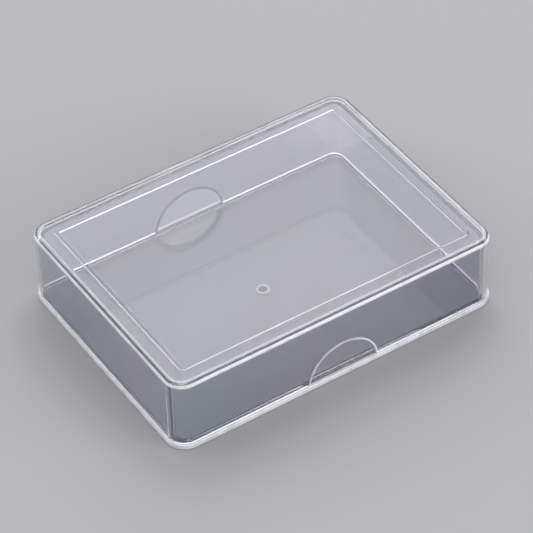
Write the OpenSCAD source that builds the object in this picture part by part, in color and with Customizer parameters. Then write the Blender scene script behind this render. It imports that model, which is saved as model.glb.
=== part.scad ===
// Clear two-piece card deck box: a shallow-flanged base with a tray for the deck, and a
// deep lid that slides down over the tray and comes to rest on the flange.
// Origin: centre of the underside of the base. +Z up, long sides face -Y and +Y.

/* [Box] */
// Length of the lid outside, along X, in mm
lid_len = 95; // [70:0.5:160]
// Width of the lid outside, along Y, in mm
lid_wid = 70; // [50:0.5:120]
// Height of the closed box up to its top plate, without the raised line, in mm
box_h = 21.6; // [16:0.1:80]
// Radius of the four upright corners of the lid, in mm
corner_r = 5; // [4:0.1:8]

/* [Lid] */
// Thickness of the lid's side walls, in mm
lid_wall = 1.2; // [0.8:0.05:1.6]
// Thickness of the lid's top plate, in mm
top_plate = 1.5; // [1:0.05:2.5]
// Radius along the lid's top edge, in mm
top_edge_r = 1.1; // [0.4:0.05:1.4]
// Radius in the corner under the top plate, in mm
inner_edge_r = 0.6; // [0.2:0.05:1]
// Distance from the lid's edge to the panel inside the raised line on its top, in mm
panel_inset = 6.2; // [5:0.1:10]
// Width of the raised line, in mm
line_w = 1.5; // [0.4:0.05:2]
// Height of the raised line above the top plate, in mm
line_h = 0.25; // [0.1:0.05:0.5]

/* [Thumb notches] */
// Width of a thumb notch where it meets the flange, in mm
notch_w = 19.8; // [14:0.2:26]
// Height of the top of a thumb notch above the flange, in mm
notch_h = 9; // [6:0.1:12]
// How far each notch stands off the middle of its side, the same way round the box, in mm
notch_shift = 0.9; // [0:0.1:3]

/* [Base] */
// Clearance between the lid and the tray walls, in mm
slide_gap = 0.25; // [0.15:0.05:0.5]
// Thickness of the tray walls, in mm
tray_wall = 1.1; // [0.8:0.05:1.6]
// Thickness of the floor, in mm
floor_t = 1.4; // [1:0.05:2.5]
// Thickness of the flange under the lid, in mm
flange_t = 1.5; // [1.2:0.05:2.5]
// How far the flange stands out past the lid, in mm
flange_out = 0.4; // [0.2:0.05:1]
// Gap between the top of the tray walls and the lid's top plate, in mm
head_gap = 0.5; // [0.3:0.05:4]

/* [Hidden] */
eps = 0.02;
arc_fn = 96;
edge_fn = 32;

seat_gap = 0.02;
lid_z0 = flange_t + seat_gap;
notch_r = (pow(notch_w / 2, 2) + pow(notch_h, 2)) / (2 * notch_h);
notch_z = flange_t + notch_h - notch_r;

cavity_len = lid_len - 2 * lid_wall;
cavity_wid = lid_wid - 2 * lid_wall;
cavity_r = corner_r - lid_wall;
cavity_top = box_h - top_plate;

tray_len = cavity_len - 2 * slide_gap;
tray_wid = cavity_wid - 2 * slide_gap;
tray_r = cavity_r - slide_gap;
tray_top = cavity_top - head_gap;

well_len = tray_len - 2 * tray_wall;
well_wid = tray_wid - 2 * tray_wall;
well_r = max(tray_r - tray_wall, 0.6);

flange_len = lid_len + 2 * flange_out;
flange_wid = lid_wid + 2 * flange_out;
flange_r = corner_r + flange_out;

gate_r = 1.65;
gate_step = 0.15;
gate_tip_r = 1.15;
gate_d = 0.7;

clear_shade = [0.86, 0.87, 0.91, 0.35];

// Plan of a box with round upright corners
module plan(l, w, r) {
    union() {
        square([l - 2 * r, w], center = true);
        square([l, w - 2 * r], center = true);
        for (sx = [-1, 1], sy = [-1, 1])
            translate([sx * (l / 2 - r), sy * (w / 2 - r)]) circle(r = r, $fn = arc_fn);
    }
}

// Half of an end view, from the middle out to x, with a round upper corner
module side_profile(x, h, e) {
    union() {
        square([x, h - e]);
        square([x - e, h]);
        translate([x - e, h - e]) circle(r = e, $fn = edge_fn);
    }
}

// Block with round upright corners and a round edge all the way along its top
module soft_block(l, w, h, r, e) {
    for (sx = [-1, 1], sy = [-1, 1])
        translate([sx * (l / 2 - r), sy * (w / 2 - r), 0])
            rotate_extrude($fn = arc_fn) side_profile(r, h, e);
    for (m = [0, 1]) {
        mirror([m, 0, 0]) translate([0, w / 2 - r, 0]) rotate([90, 0, 90])
            linear_extrude(l / 2 - r) side_profile(r, h, e);
        mirror([m, 0, 0]) translate([0, r - w / 2, 0]) rotate([90, 0, 90]) mirror([1, 0, 0])
            linear_extrude(l / 2 - r) side_profile(r, h, e);
        mirror([0, m, 0]) translate([l / 2 - r, w / 2 - r, 0]) rotate([90, 0, 0])
            linear_extrude(w / 2 - r) side_profile(r, h, e);
        mirror([0, m, 0]) translate([r - l / 2, w / 2 - r, 0]) rotate([90, 0, 0]) mirror([1, 0, 0])
            linear_extrude(w / 2 - r) side_profile(r, h, e);
    }
    translate([0, 0, h / 2]) cube([l - 2 * r, w - 2 * r, h], center = true);
}

// Round cutter that opens the thumb notch in one long side of the lid
module notch_cut(side) {
    translate([side * -notch_shift, side * (lid_wid / 2 - lid_wall / 2), notch_z])
        rotate([90, 0, 0]) cylinder(r = notch_r, h = lid_wall + 1, center = true, $fn = arc_fn);
}

// Raised line round the top panel: square corners inside, round ones outside
module panel_line() {
    inner_l = lid_len - 2 * panel_inset;
    inner_w = lid_wid - 2 * panel_inset;
    translate([0, 0, box_h - eps]) linear_extrude(line_h + eps) difference() {
        plan(inner_l + 2 * line_w, inner_w + 2 * line_w, line_w);
        square([inner_l, inner_w], center = true);
    }
}

module lid() {
    color(clear_shade) difference() {
        union() {
            translate([0, 0, lid_z0])
                soft_block(lid_len, lid_wid, box_h - lid_z0, corner_r, top_edge_r);
            panel_line();
        }
        translate([0, 0, lid_z0 - 1])
            soft_block(cavity_len, cavity_wid, cavity_top - lid_z0 + 1, cavity_r, inner_edge_r);
        for (side = [-1, 1]) notch_cut(side);
    }
}

// Stepped dimple under the middle of the floor, where the moulding was fed
module gate_dimple() {
    translate([0, 0, -eps]) cylinder(r = gate_r, h = gate_step + eps, $fn = arc_fn);
    translate([0, 0, -eps]) cylinder(r = gate_tip_r, h = gate_d + eps, $fn = arc_fn);
}

module base() {
    color(clear_shade) difference() {
        union() {
            linear_extrude(flange_t) plan(flange_len, flange_wid, flange_r);
            linear_extrude(tray_top) plan(tray_len, tray_wid, tray_r);
        }
        translate([0, 0, floor_t]) linear_extrude(box_h) plan(well_len, well_wid, well_r);
        gate_dimple();
    }
}

base();
lid();
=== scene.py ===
"""Clear two-piece card deck box on a plain pale floor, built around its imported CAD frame."""

import math

import bmesh
import bpy
from mathutils import Matrix, Vector


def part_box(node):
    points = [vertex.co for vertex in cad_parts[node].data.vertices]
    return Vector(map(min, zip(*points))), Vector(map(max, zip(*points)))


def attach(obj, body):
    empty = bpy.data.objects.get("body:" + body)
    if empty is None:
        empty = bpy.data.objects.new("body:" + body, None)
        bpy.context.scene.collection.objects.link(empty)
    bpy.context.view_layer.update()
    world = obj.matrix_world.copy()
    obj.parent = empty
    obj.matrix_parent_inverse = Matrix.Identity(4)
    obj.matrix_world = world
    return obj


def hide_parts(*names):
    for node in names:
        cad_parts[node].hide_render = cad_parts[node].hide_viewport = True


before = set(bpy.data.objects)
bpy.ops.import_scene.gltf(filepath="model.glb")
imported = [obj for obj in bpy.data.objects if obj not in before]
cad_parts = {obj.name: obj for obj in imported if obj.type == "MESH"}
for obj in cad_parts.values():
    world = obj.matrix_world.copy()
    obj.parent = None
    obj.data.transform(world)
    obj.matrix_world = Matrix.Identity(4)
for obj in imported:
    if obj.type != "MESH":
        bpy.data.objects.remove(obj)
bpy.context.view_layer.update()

MM = 0.001

# ---------------------------------------------------------------- sizes, in mm, from the CAD frame
base_lo, base_hi = ([c / MM for c in corner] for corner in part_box("base"))
lid_lo, lid_hi = ([c / MM for c in corner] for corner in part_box("lid"))

LID_X, LID_Y = (lid_hi[0] - lid_lo[0]) / 2, (lid_hi[1] - lid_lo[1]) / 2
LID_Z0, LID_Z1 = lid_lo[2], lid_hi[2]
FOOT_X, FOOT_Y = (base_hi[0] - base_lo[0]) / 2, (base_hi[1] - base_lo[1]) / 2
TRAY_TOP = base_hi[2]
FLANGE_OUT = FOOT_X - LID_X

# Sizes that the frame's boxes don't give, as in the CAD source
CORNER_R = 5.0

LID_WALL = 1.2
TOP_PLATE = 1.5
TOP_EDGE_R = 1.1
INNER_EDGE_R = 0.6
PANEL_INSET = 6.2
LINE_W = 1.5
LINE_H = 0.25
PLATE_TOP = LID_Z1 - LINE_H

SLIDE_GAP = 0.25
TRAY_WALL = 1.1
FLOOR_T = 1.4
FLANGE_T = 1.5
GATE_R, GATE_TIP_R, GATE_STEP, GATE_D = 1.65, 1.15, 0.15, 0.7

NOTCH_W, NOTCH_H, NOTCH_SHIFT = 19.8, 9.0, 0.9
NOTCH_R = ((NOTCH_W / 2) ** 2 + NOTCH_H**2) / (2 * NOTCH_H)
NOTCH_Z = FLANGE_T + NOTCH_H - NOTCH_R

# Small forms that only the visual meshes have
LINE_SLANT = 0.20  # width of each sloping side of the raised line
LINE_EASE = 0.05  # softening at the top and foot of those slopes
NOTCH_EDGE_R = 0.12
LID_FOOT_R = 0.15
FLANGE_EDGE_R = 0.25
TRAY_LIP_R = 0.3
TRAY_FOOT_R = 0.08
FLOOR_COVE_R = 0.8

# Rings of the meshes: GUARD is how far a ring stands off a round, to keep the flat beside it flat
GUARD, LINE_GUARD, FOOT_GUARD = 0.3, 0.4, 0.2
CAP_INSET_TOP, CAP_INSET_FLOOR = 2.0, 3.0
SHARP_R = 0.03
CORNER_STEPS, SIDE_STEPS = 16, 2
ARC_STEPS, SMALL_ARC_STEPS = 8, 4
NOTCH_SIDES, GATE_SIDES = 144, 72
SHORT_EDGE, WELD = 0.08, 0.002
SMOOTH_ANGLE = 32


# ---------------------------------------------------------------- mesh tools
def rounded_ring(bm, hx, hy, r, z):
    """One loop of vertices round a rectangle with round corners, counter-clockwise from above."""
    r = max(r, SHARP_R)
    points = []
    for i, (sx, sy) in enumerate(((1, 1), (-1, 1), (-1, -1), (1, -1))):
        cx, cy = sx * (hx - r), sy * (hy - r)
        for k in range(CORNER_STEPS + 1):
            a = math.radians(90 * (i + k / CORNER_STEPS))
            points.append((cx + r * math.cos(a), cy + r * math.sin(a)))
    full = []
    for k, p in enumerate(points):
        full.append(p)
        q = points[(k + 1) % len(points)]
        if k % (CORNER_STEPS + 1) == CORNER_STEPS:
            for s in range(1, SIDE_STEPS + 1):
                t = s / (SIDE_STEPS + 1)
                full.append((p[0] + (q[0] - p[0]) * t, p[1] + (q[1] - p[1]) * t))
    return [bm.verts.new((x * MM, y * MM, z * MM)) for x, y in full]


def arc(corner, cu, cz, r, start, stop, steps=ARC_STEPS):
    """Quarter round of a section whose corner radius is `corner` at no inset.

    Its points are (inset, height, corner radius), and angles are in degrees from the inset axis.
    """
    points = []
    for k in range(steps + 1):
        a = math.radians(start + (stop - start) * k / steps)
        u = cu + r * math.cos(a)
        points.append((u, cz + r * math.sin(a), corner - u))
    return points


def lathe_box(name, hx, hy, profile):
    """Closed solid whose section, a list of (inset, height, corner radius), runs round a rectangle."""
    bm = bmesh.new()
    rings = [rounded_ring(bm, hx - u, hy - u, r, z) for u, z, r in profile]
    count = len(rings[0])
    for a, b in zip(rings, rings[1:]):
        for k in range(count):
            bm.faces.new((a[k], a[(k + 1) % count], b[(k + 1) % count], b[k]))
    bm.faces.new(list(reversed(rings[0])))
    bm.faces.new(rings[-1])
    bmesh.ops.recalc_face_normals(bm, faces=bm.faces)
    mesh = bpy.data.meshes.new(name)
    bm.to_mesh(mesh)
    bm.free()
    piece = bpy.data.objects.new(name, mesh)
    bpy.context.scene.collection.objects.link(piece)
    return piece


def cutter_cylinder(axis_point, direction, r, depth, sides):
    """Throw-away cylinder for a boolean cut, centred on axis_point, sizes in mm."""
    bm = bmesh.new()
    turn = Vector((0, 0, 1)).rotation_difference(Vector(direction)).to_matrix().to_4x4()
    bmesh.ops.create_cone(
        bm,
        cap_ends=True,
        segments=sides,
        radius1=r * MM,
        radius2=r * MM,
        depth=depth * MM,
        matrix=Matrix.Translation(Vector(axis_point) * MM) @ turn,
    )
    mesh = bpy.data.meshes.new("cutter")
    bm.to_mesh(mesh)
    bm.free()
    cutter = bpy.data.objects.new("cutter", mesh)
    bpy.context.scene.collection.objects.link(cutter)
    return cutter


def cut(piece, cutters):
    """Takes the cutters out of the piece for good and throws them away."""
    for cutter in cutters:
        modifier = piece.modifiers.new("cut", "BOOLEAN")
        modifier.operation = "DIFFERENCE"
        modifier.solver = "EXACT"
        modifier.object = cutter
    graph = bpy.context.evaluated_depsgraph_get()
    result = bpy.data.meshes.new_from_object(piece.evaluated_get(graph))
    old = piece.data
    piece.modifiers.clear()
    piece.data = result
    result.name = piece.name
    bpy.data.meshes.remove(old)
    for cutter in cutters:
        mesh = cutter.data
        bpy.data.objects.remove(cutter)
        bpy.data.meshes.remove(mesh)


def bevel_where(piece, test, width, segments=2):
    """Rounds the edges that pass the test by width mm, and clears the slivers that this leaves."""
    bm = bmesh.new()
    bm.from_mesh(piece.data)
    short = [e for e in bm.edges if test(e) and e.calc_length() < SHORT_EDGE * MM]
    bmesh.ops.collapse(bm, edges=short)
    edges = [e for e in bm.edges if test(e)]
    bmesh.ops.bevel(bm, geom=edges, offset=width * MM, segments=segments, profile=0.5, affect="EDGES")
    bmesh.ops.remove_doubles(bm, verts=bm.verts, dist=WELD * MM)
    bmesh.ops.dissolve_degenerate(bm, edges=bm.edges, dist=WELD * MM)
    bmesh.ops.triangulate(bm, faces=[f for f in bm.faces if len(f.verts) > 4])
    bm.to_mesh(piece.data)
    bm.free()


def smooth(piece):
    """Smooth shading with true flats: sharp edges by angle, normals weighted by face area."""
    piece.data.shade_smooth()
    bm = bmesh.new()
    bm.from_mesh(piece.data)
    for e in bm.edges:
        e.smooth = len(e.link_faces) == 2 and e.calc_face_angle(0) < math.radians(SMOOTH_ANGLE)
    bm.to_mesh(piece.data)
    bm.free()
    modifier = piece.modifiers.new("normals", "WEIGHTED_NORMAL")
    modifier.weight = 80
    modifier.keep_sharp = True


# ---------------------------------------------------------------- lid
def line_profile():
    """Section of the raised line, from the panel inside it to the top outside it."""
    inner, outer = PANEL_INSET, PANEL_INSET - LINE_W
    near = 0.3 * LINE_EASE
    low, high, crest = PLATE_TOP + 0.2 * LINE_H, PLATE_TOP + 0.8 * LINE_H, PLATE_TOP + LINE_H
    return [
        (inner + LINE_GUARD, PLATE_TOP, 0.0),
        (inner + LINE_EASE, PLATE_TOP, 0.0),
        (inner - near, low, 0.0),
        (inner - LINE_SLANT + near, high, 0.0),
        (inner - LINE_SLANT - LINE_EASE, crest, LINE_SLANT),
        (outer + LINE_SLANT + LINE_EASE, crest, inner - outer - LINE_SLANT),
        (outer + LINE_SLANT - near, high, LINE_W),
        (outer + near, low, LINE_W),
        (outer - LINE_EASE, PLATE_TOP, LINE_W),
        (outer - LINE_GUARD, PLATE_TOP, LINE_W + LINE_GUARD),
    ]


def lid_profile():
    """The lid's section from the middle of the top, over the edge and back under the plate."""
    under = PLATE_TOP - TOP_PLATE
    rim, foot, cove = TOP_EDGE_R, LID_FOOT_R, INNER_EDGE_R
    points = line_profile()
    points.append((rim + GUARD, PLATE_TOP, CORNER_R - rim - GUARD))
    points += arc(CORNER_R, rim, PLATE_TOP - rim, rim, 90, 180)
    points.append((0.0, PLATE_TOP - rim - GUARD, CORNER_R))
    points.append((0.0, LID_Z0 + foot + FOOT_GUARD, CORNER_R))
    points += arc(CORNER_R, foot, LID_Z0 + foot, foot, 180, 270, SMALL_ARC_STEPS)
    points += arc(CORNER_R, LID_WALL - foot, LID_Z0 + foot, foot, 270, 360, SMALL_ARC_STEPS)
    points.append((LID_WALL, LID_Z0 + foot + FOOT_GUARD, CORNER_R - LID_WALL))
    points.append((LID_WALL, under - cove - GUARD, CORNER_R - LID_WALL))
    points += arc(CORNER_R, LID_WALL + cove, under - cove, cove, 180, 90)
    points.append((LID_WALL + cove + GUARD, under, CORNER_R - LID_WALL - cove - GUARD))
    points.append((PANEL_INSET + CAP_INSET_TOP, under, 1.0))
    return points


def build_lid():
    piece = lathe_box("lid_moulding", LID_X, LID_Y, lid_profile())
    axes = {side: (side * -NOTCH_SHIFT, side * (LID_Y - LID_WALL / 2), NOTCH_Z) for side in (-1, 1)}
    depth = LID_WALL + 1.0
    cut(piece, [cutter_cylinder(p, (0, 1, 0), NOTCH_R, depth, NOTCH_SIDES) for p in axes.values()])

    off_arc, off_face, above_foot = 0.02, 0.002, 0.4

    def on_notch_edge(edge):
        for v in edge.verts:
            x, y, z = v.co / MM
            side = 1 if y > 0 else -1
            cx, _, cz = axes[side]
            away = abs(math.hypot(x - cx, z - cz) - NOTCH_R)
            face = min(abs(abs(y) - LID_Y), abs(abs(y) - LID_Y + LID_WALL))
            if away > off_arc or face > off_face or z < LID_Z0 + above_foot:
                return False
        return True

    bevel_where(piece, on_notch_edge, NOTCH_EDGE_R)
    smooth(piece)
    return piece


# ---------------------------------------------------------------- base
def base_profile():
    """The base's section from under the floor, round the flange, over the tray wall to the floor."""
    corner = CORNER_R + FLANGE_OUT
    edge, foot, lip, cove = FLANGE_EDGE_R, TRAY_FOOT_R, TRAY_LIP_R, FLOOR_COVE_R
    outer = FLANGE_OUT + LID_WALL + SLIDE_GAP
    inner = outer + TRAY_WALL
    points = [(inner + CAP_INSET_FLOOR, 0.0, 1.5), (edge + GUARD, 0.0, corner - edge - GUARD)]
    points += arc(corner, edge, edge, edge, 270, 180, SMALL_ARC_STEPS)
    points += arc(corner, edge, FLANGE_T - edge, edge, 180, 90, SMALL_ARC_STEPS)
    points += arc(corner, outer - foot, FLANGE_T + foot, foot, 270, 360, SMALL_ARC_STEPS)
    points.append((outer, FLANGE_T + foot + GUARD, corner - outer))
    points.append((outer, TRAY_TOP - lip - GUARD, corner - outer))
    points += arc(corner, outer + lip, TRAY_TOP - lip, lip, 180, 90, SMALL_ARC_STEPS)
    points += arc(corner, inner - lip, TRAY_TOP - lip, lip, 90, 0, SMALL_ARC_STEPS)
    points.append((inner, TRAY_TOP - lip - GUARD, corner - inner))
    points.append((inner, FLOOR_T + cove + GUARD, corner - inner))
    points += arc(corner, inner + cove, FLOOR_T + cove, cove, 180, 270)
    points.append((inner + cove + GUARD, FLOOR_T, corner - inner - cove - GUARD))
    points.append((inner + CAP_INSET_FLOOR, FLOOR_T, 1.0))
    return points


def build_base():
    piece = lathe_box("base_moulding", FOOT_X, FOOT_Y, base_profile())
    below = 0.3
    cutters = []
    for r, depth in ((GATE_R, GATE_STEP), (GATE_TIP_R, GATE_D)):
        middle = (0, 0, (depth - below) / 2)
        cutters.append(cutter_cylinder(middle, (0, 0, 1), r, depth + below, GATE_SIDES))
    cut(piece, cutters)
    smooth(piece)
    return piece


# ---------------------------------------------------------------- materials
# Numbers of a mix node's colour sockets, which share their names with its other sockets
MIX_UNDER, MIX_OVER, MIX_RESULT = 6, 7, 2


class Graph:
    """Short names for the maths and texture nodes of one material, all in mm in the piece's own frame."""

    def __init__(self, name):
        self.material = bpy.data.materials.new(name)
        self.material.use_nodes = True
        self.tree = self.material.node_tree
        self.shader = self.tree.nodes["Principled BSDF"]
        where = self.add("ShaderNodeTexCoord").outputs["Object"]
        scale = self.add("ShaderNodeVectorMath", operation="SCALE")
        scale.inputs["Scale"].default_value = 1 / MM
        self.link(where, scale.inputs[0])
        self.point = scale.outputs[0]
        split = self.add("ShaderNodeSeparateXYZ")
        self.link(self.point, split.inputs[0])
        self.x, self.y, self.z = split.outputs

    def add(self, kind, **settings):
        node = self.tree.nodes.new(kind)
        for key, value in settings.items():
            setattr(node, key, value)
        return node

    def link(self, source, target):
        """Feeds a socket from another socket, or sets it to a value."""
        if hasattr(source, "is_output"):
            self.tree.links.new(source, target)
        else:
            target.default_value = source

    def math(self, operation, a, b=0.0, c=0.0):
        node = self.add("ShaderNodeMath", operation=operation)
        for value, socket in zip((a, b, c), node.inputs):
            self.link(value, socket)
        return node.outputs[0]

    def ramp(self, value, low, high, to_low=0.0, to_high=1.0):
        """Smooth step from to_low to to_high while value goes from low to high."""
        node = self.add("ShaderNodeMapRange", interpolation_type="SMOOTHSTEP")
        sockets = {"Value": value, "From Min": low, "From Max": high, "To Min": to_low, "To Max": to_high}
        for key, source in sockets.items():
            self.link(source, node.inputs[key])
        return node.outputs["Result"]

    def fade(self, value, low, high):
        """1 while value is under low, fading to 0 at high."""
        return self.ramp(value, low, high, 1.0, 0.0)

    def band(self, value, centre, half, soft):
        """1 while value is within half of centre, fading to 0 over soft."""
        away = self.math("ABSOLUTE", self.math("SUBTRACT", value, centre))
        return self.fade(away, half, half + soft)

    def both(self, *values):
        result = values[0]
        for value in values[1:]:
            result = self.math("MULTIPLY", result, value)
        return result

    def most(self, *values):
        result = values[0]
        for value in values[1:]:
            result = self.math("MAXIMUM", result, value)
        return result

    def length(self, a, b):
        """Length of a vector with parts a and b."""
        squares = self.math("ADD", self.math("MULTIPLY", a, a), self.math("MULTIPLY", b, b))
        return self.math("SQRT", squares)

    def inset(self, hx, hy, r):
        """How far a point lies inside a rectangle with round corners, seen from above."""
        qx = self.math("SUBTRACT", self.math("ABSOLUTE", self.x), hx - r)
        qy = self.math("SUBTRACT", self.math("ABSOLUTE", self.y), hy - r)
        corner = self.length(self.math("MAXIMUM", qx, 0.0), self.math("MAXIMUM", qy, 0.0))
        flat = self.math("MINIMUM", self.math("MAXIMUM", qx, qy), 0.0)
        return self.math("SUBTRACT", r, self.math("ADD", corner, flat))

    def from_axis(self, a, b, ca, cb):
        """Distance from a line, given the two coordinates across it."""
        return self.length(self.math("SUBTRACT", a, ca), self.math("SUBTRACT", b, cb))

    def moved(self, seed, stretch=(1, 1, 1), turn=0.0):
        """The point in a place of its own for each seed, so that no two patterns match."""
        node = self.add("ShaderNodeMapping")
        node.inputs["Location"].default_value = (seed * 31, seed * 17, seed * 7)
        node.inputs["Rotation"].default_value = (0, 0, math.radians(turn))
        node.inputs["Scale"].default_value = stretch
        self.link(self.point, node.inputs["Vector"])
        return node.outputs[0]

    def noise(self, size, detail, seed, stretch=(1, 1, 1), turn=0.0):
        node = self.add("ShaderNodeTexNoise")
        node.inputs["Scale"].default_value = 1 / size
        node.inputs["Detail"].default_value = detail
        self.link(self.moved(seed, stretch, turn), node.inputs["Vector"])
        return node.outputs["Fac"]

    def specks(self, spacing, radius, share, seed):
        """Sparse round dots: one in each cell of a Voronoi pattern, in a share of the cells."""
        cells = self.add("ShaderNodeTexVoronoi", feature="F1")
        cells.inputs["Scale"].default_value = 1 / spacing
        self.link(self.moved(seed), cells.inputs["Vector"])
        near = self.fade(cells.outputs["Distance"], radius / spacing * 0.5, radius / spacing)
        pick = self.add("ShaderNodeSeparateColor")
        self.link(cells.outputs["Color"], pick.inputs[0])
        return self.both(near, self.math("LESS_THAN", pick.outputs[0], share))

    def mix(self, share, under, over):
        """The colour `under` with a share of the fixed colour `over` laid on it."""
        node = self.add("ShaderNodeMix", data_type="RGBA")
        self.link(share, node.inputs["Factor"])
        self.link(under, node.inputs[MIX_UNDER])
        node.inputs[MIX_OVER].default_value = over
        return node.outputs[MIX_RESULT]


POLYSTYRENE_IOR = 1.59
CLEAR_TINTS = (
    (0.30, (0.862, 0.900, 0.932, 1)),
    (0.50, (0.882, 0.884, 0.932, 1)),
    (0.70, (0.905, 0.870, 0.932, 1)),
)
# White laid into the colour: painted highlight on the light-catching edges, and real dust and scuffs
HIGHLIGHT_AND_DUST_WHITE = (0.95, 0.95, 0.98, 1)
# Painted shade: near-black laid into the gate dimple, and more faintly into the floor above it
PAINTED_DIMPLE_SHADE = (0.03, 0.03, 0.04, 1)
DEPTH_COLOUR = (0.35, 0.35, 0.42, 1)

# How much light each piece's plastic takes up, per metre, and where its patterns start
LID_DENSITY, BASE_DENSITY = 2.0, 20.0
LID_SEED, BASE_SEED = 3.1, 7.7

# Share of full whitening at each place, dust and scuffs real and the rest painted highlight, and what
# full whitening does to the shader
DUST_FROST, SCUFF_FROST = 0.6, 0.10
LINE_HIGHLIGHT, RIM_HIGHLIGHT, SHOULDER_HIGHLIGHT = 0.75, 0.9, 0.4
LEDGE_HIGHLIGHT, FLANGE_SIDE_HIGHLIGHT = 0.95, 0.85
HIGHLIGHT_AND_DUST_ROUGHNESS, HIGHLIGHT_AND_DUST_COVER = 0.25, 0.9


def painted_highlights_and_dust(g, seed, painted_highlight_mask):
    """How white the surface is: painted highlights on its light-catching places, patchy in strength, with
    real dust and faint scuffs.
    """
    highlight_patchiness = g.noise(size=3.0, detail=4, seed=seed + 1)
    # Painted highlight: white on the light-catching places, patchy in strength
    edges = g.both(painted_highlight_mask(g), g.ramp(highlight_patchiness, low=0.25, high=0.6, to_low=0.75))
    dust = g.specks(spacing=7.0, radius=0.11, share=0.16, seed=seed + 2)
    lines = g.noise(size=1.0, detail=2, seed=seed + 3, stretch=(0.06, 1.6, 1), turn=24)
    patches = g.noise(size=18, detail=1, seed=seed + 4)
    scuffs = g.both(g.ramp(lines, low=0.70, high=0.76), g.ramp(patches, low=0.52, high=0.62))
    return g.most(edges, g.both(dust, DUST_FROST), g.both(scuffs, SCUFF_FROST))


def surface_colour(g, seed, highlight_and_dust, painted_shade_mask):
    """A breath of stress colour, white with painted highlights, dust and scuffs, and dark with painted
    shade.
    """
    tint = g.add("ShaderNodeValToRGB")
    ramp = tint.color_ramp
    elements = (ramp.elements[0], ramp.elements.new(0.5), ramp.elements[-1])
    for element, (position, colour) in zip(elements, CLEAR_TINTS):
        element.position, element.color = position, colour
    stress = g.noise(size=30, detail=2, seed=seed, stretch=(1, 1.6, 1), turn=20)
    g.link(stress, tint.inputs["Fac"])
    # Painted highlights, with real dust and scuffs, laid on in white
    colour = g.mix(highlight_and_dust, tint.outputs["Color"], HIGHLIGHT_AND_DUST_WHITE)
    # Painted shade laid on in near-black where its mask says
    return g.mix(painted_shade_mask(g), colour, PAINTED_DIMPLE_SHADE) if painted_shade_mask else colour


def clear_plastic(name, seed, density, painted_highlight_mask, painted_shade_mask=None):
    """Clear polystyrene, which thins the light with depth, with moulding flow, fine dust, scuffs and
    smears, and white painted highlights.

    The two mask arguments draw where the piece has painted highlights in white and painted shade in
    near-black.
    """
    g = Graph(name)
    shader = g.shader
    shader.inputs["IOR"].default_value = POLYSTYRENE_IOR
    # Painted highlights, with real dust and scuffs: whiter, rougher and less clear there
    highlight_and_dust = painted_highlights_and_dust(g, seed, painted_highlight_mask)
    g.link(surface_colour(g, seed, highlight_and_dust, painted_shade_mask), shader.inputs["Base Color"])
    smears = g.noise(size=7, detail=5, seed=seed + 5)
    haze = g.ramp(smears, low=0.45, high=0.8, to_low=0.006, to_high=0.04)
    g.link(g.math("MULTIPLY_ADD", highlight_and_dust, HIGHLIGHT_AND_DUST_ROUGHNESS, haze), shader.inputs["Roughness"])
    cover = g.both(highlight_and_dust, HIGHLIGHT_AND_DUST_COVER)
    g.link(g.math("SUBTRACT", 1.0, cover), shader.inputs["Transmission Weight"])

    depth = g.add("ShaderNodeVolumeAbsorption")
    depth.inputs["Color"].default_value = DEPTH_COLOUR
    depth.inputs["Density"].default_value = density
    g.link(depth.outputs["Volume"], g.tree.nodes["Material Output"].inputs["Volume"])

    bump = g.add("ShaderNodeBump")
    bump.inputs["Strength"].default_value = 0.02
    bump.inputs["Distance"].default_value = 0.0006
    flow = g.noise(size=17, detail=1, seed=seed + 6, stretch=(1, 0.5, 1))
    g.link(flow, bump.inputs["Height"])
    g.link(bump.outputs["Normal"], shader.inputs["Normal"])
    return g.material


def lid_painted_highlights(g):
    """The lid's painted highlights: white on the raised line, the top edge and the notches' cut edges."""
    inset = g.inset(LID_X, LID_Y, CORNER_R)

    from_line = g.math("ABSOLUTE", g.math("SUBTRACT", inset, PANEL_INSET - LINE_W / 2))
    slopes = g.band(from_line, (LINE_W - LINE_SLANT) / 2, half=LINE_SLANT / 2 - 0.02, soft=0.04)
    line = g.both(slopes, g.ramp(g.z, PLATE_TOP, PLATE_TOP + 0.04))

    rim_foot = PLATE_TOP - TOP_EDGE_R
    rim = g.both(g.fade(inset, 0.25, 0.4), g.ramp(g.z, rim_foot - 0.2, rim_foot))

    shoulder = g.both(
        g.band(inset, centre=1.35, half=0.3, soft=0.15),
        g.ramp(g.z, PLATE_TOP - 0.08, PLATE_TOP - 0.04),
    )

    notches = 0.0
    inner_face = LID_Y - LID_WALL
    for side in (-1, 1):
        from_notch = g.from_axis(g.x, g.z, side * -NOTCH_SHIFT, NOTCH_Z)
        ring = g.band(from_notch, NOTCH_R + 0.18, half=0.24, soft=0.08)
        in_wall = g.ramp(g.both(g.y, float(side)), inner_face - 0.3, inner_face - 0.1)
        notches = g.most(notches, g.both(ring, in_wall))
    return g.most(
        g.both(line, LINE_HIGHLIGHT), g.both(rim, RIM_HIGHLIGHT), g.both(shoulder, SHOULDER_HIGHLIGHT), notches
    )


def gate_distance(g):
    return g.from_axis(g.x, g.y, 0.0, 0.0)


def on_floor(g):
    """1 on the floor's upper face and above, 0 below it."""
    return g.ramp(g.z, FLOOR_T - 0.1, FLOOR_T - 0.05)


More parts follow.
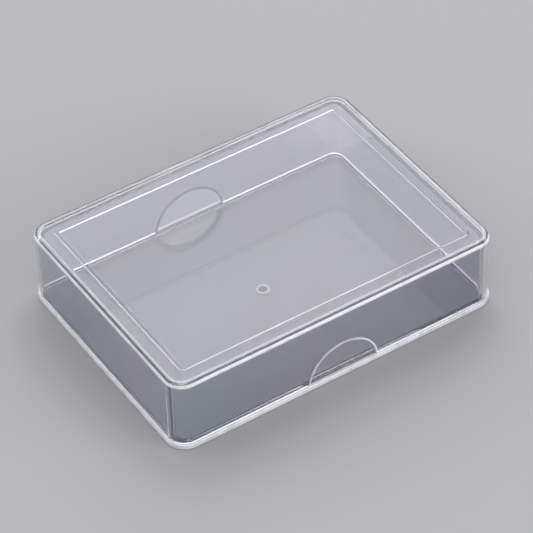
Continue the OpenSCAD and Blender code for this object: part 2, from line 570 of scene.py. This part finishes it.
def base_painted_highlights(g):
    """The base's painted highlights: white on the flange's ledge and side, and a white ring over the gate
    dimple.

    The ledge is white only where it shows outside the lid, so the band is wider in the notches.
    """
    inset = g.inset(FOOT_X, FOOT_Y, CORNER_R + FLANGE_OUT)
    in_notch = 0.0
    for side in (-1, 1):
        across = g.band(g.x, side * -NOTCH_SHIFT, half=NOTCH_R - 0.2, soft=0.3)
        this_side = g.math("GREATER_THAN", g.both(g.y, float(side)), 0.0)
        in_notch = g.most(in_notch, g.both(across, this_side))
    reach, notch_reach = 0.5, 0.4
    beyond = g.math("SUBTRACT", inset, g.math("MULTIPLY_ADD", in_notch, notch_reach, reach))
    ledge = g.both(
        g.fade(beyond, -0.05, 0.05),
        g.ramp(g.z, FLANGE_T - 0.12, FLANGE_T - 0.04),
        g.fade(g.z, FLANGE_T + 0.05, FLANGE_T + 0.15),
    )
    flange_side = g.fade(inset, 0.1, 0.3)
    ring_centre, ring_half = (GATE_R + GATE_TIP_R) / 2, (GATE_R - GATE_TIP_R) / 2 + 0.12
    # Painted highlight: a white ring on the floor over the gate dimple
    gate = g.both(g.band(gate_distance(g), ring_centre, ring_half, soft=0.06), on_floor(g))
    return g.most(g.both(ledge, LEDGE_HIGHLIGHT), g.both(flange_side, FLANGE_SIDE_HIGHLIGHT), gate)


def base_painted_shade(g):
    """Painted shade on the base: dark in the gate dimple, and less so on the floor above it."""
    tip = g.fade(gate_distance(g), GATE_TIP_R + 0.02, GATE_TIP_R + 0.06)
    above_step = g.ramp(g.z, GATE_STEP + 0.1, GATE_STEP + 0.2)
    less_on_floor = g.math("SUBTRACT", 1.0, g.both(on_floor(g), 0.4))
    return g.both(tip, above_step, less_on_floor)


lid_piece = build_lid()
base_piece = build_base()
for piece, node, slot, seed, density, painted_highlight_mask, painted_shade_mask in (
    (lid_piece, "lid", "clear_lid", LID_SEED, LID_DENSITY, lid_painted_highlights, None),
    (base_piece, "base", "clear_base", BASE_SEED, BASE_DENSITY, base_painted_highlights, base_painted_shade),
):
    piece.data.materials.clear()
    piece.data.materials.append(clear_plastic(slot, seed, density, painted_highlight_mask, painted_shade_mask))
    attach(piece, node)
    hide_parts(node)


# ---------------------------------------------------------------- floor, light and camera
FLOOR_COLOUR = (0.40, 0.40, 0.41, 1)
FLOOR_SIZE = 6  # metres
FLOOR_DROP = 0.15

WORLD_COLOUR = (0.50, 0.505, 0.53, 1)
LIGHT_DISTANCE = 1.2  # metres
# Name, azimuth from +Y towards +X and elevation in degrees, width and height in metres, watts
SOFTBOXES = (
    ("back_softbox", 32, 48, 1.3, 1.1, 7.5),
    ("side_softbox", 250, 65, 1.3, 1.1, 3.5),
    ("front_softbox", 155, 22, 1.2, 0.7, 7.0),
    ("left_softbox", 311, 22, 1.2, 0.7, 2.5),
)
# Light goes from wall to wall inside the clear plastic many times before it leaves
BOUNCES = 256

# The camera looks along an azimuth from +Y towards +X, down by its elevation, sizes in mm
CAMERA_AZIMUTH, CAMERA_ELEVATION, CAMERA_ROLL = 32.18, 43.05, -1.827
CAMERA_DISTANCE = 764.2
LOOK_HEIGHT, LOOK_RIGHT, LOOK_UP = 8.0, 1.087, 1.425
LENS, SENSOR_WIDTH = 203.984, 36


def build_floor():
    bpy.ops.mesh.primitive_plane_add(size=FLOOR_SIZE, location=(0, 0, -FLOOR_DROP * MM))
    floor = bpy.context.object
    floor.name = "floor"
    material = bpy.data.materials.new("floor")
    material.use_nodes = True
    shader = material.node_tree.nodes["Principled BSDF"]
    shader.inputs["Base Color"].default_value = FLOOR_COLOUR
    shader.inputs["Roughness"].default_value = 0.7
    floor.data.materials.append(material)


def softbox(name, azimuth, elevation, width, height, power):
    """Area light that faces the box from a direction."""
    az, el = math.radians(azimuth), math.radians(elevation)
    away = Vector((math.sin(az) * math.cos(el), math.cos(az) * math.cos(el), math.sin(el)))
    data = bpy.data.lights.new(name, "AREA")
    data.shape = "RECTANGLE"
    data.size, data.size_y = width, height
    data.energy = power
    light = bpy.data.objects.new(name, data)
    light.location = away * LIGHT_DISTANCE
    light.rotation_euler = (-away).to_track_quat("-Z", "Y").to_euler()
    bpy.context.scene.collection.objects.link(light)


def build_light():
    world = bpy.data.worlds.new("studio")
    bpy.context.scene.world = world
    world.use_nodes = True
    background = world.node_tree.nodes["Background"]
    background.inputs["Color"].default_value = WORLD_COLOUR
    background.inputs["Strength"].default_value = 1.0
    for settings in SOFTBOXES:
        softbox(*settings)


def build_camera():
    azimuth, elevation = math.radians(CAMERA_AZIMUTH), math.radians(CAMERA_ELEVATION)
    roll = math.radians(CAMERA_ROLL)
    look = Vector((
        math.sin(azimuth) * math.cos(elevation),
        math.cos(azimuth) * math.cos(elevation),
        -math.sin(elevation),
    ))
    level = Vector((math.cos(azimuth), -math.sin(azimuth), 0))
    rise = level.cross(look)
    target = Vector((0, 0, LOOK_HEIGHT * MM)) + level * LOOK_RIGHT * MM + rise * LOOK_UP * MM
    right = level * math.cos(roll) + rise * math.sin(roll)
    up = rise * math.cos(roll) - level * math.sin(roll)
    data = bpy.data.cameras.new("camera")
    data.sensor_width = SENSOR_WIDTH
    data.lens = LENS
    data.clip_start, data.clip_end = 0.01, 20
    camera = bpy.data.objects.new("camera", data)
    place = Matrix((right, up, -look)).transposed().to_4x4()
    place.translation = target - look * CAMERA_DISTANCE * MM
    camera.matrix_world = place
    bpy.context.scene.collection.objects.link(camera)
    bpy.context.scene.camera = camera


build_floor()
build_light()
build_camera()
scene = bpy.context.scene
scene.view_settings.view_transform = "Standard"
scene.cycles.max_bounces = BOUNCES
scene.cycles.transmission_bounces = BOUNCES
scene.cycles.glossy_bounces = BOUNCES
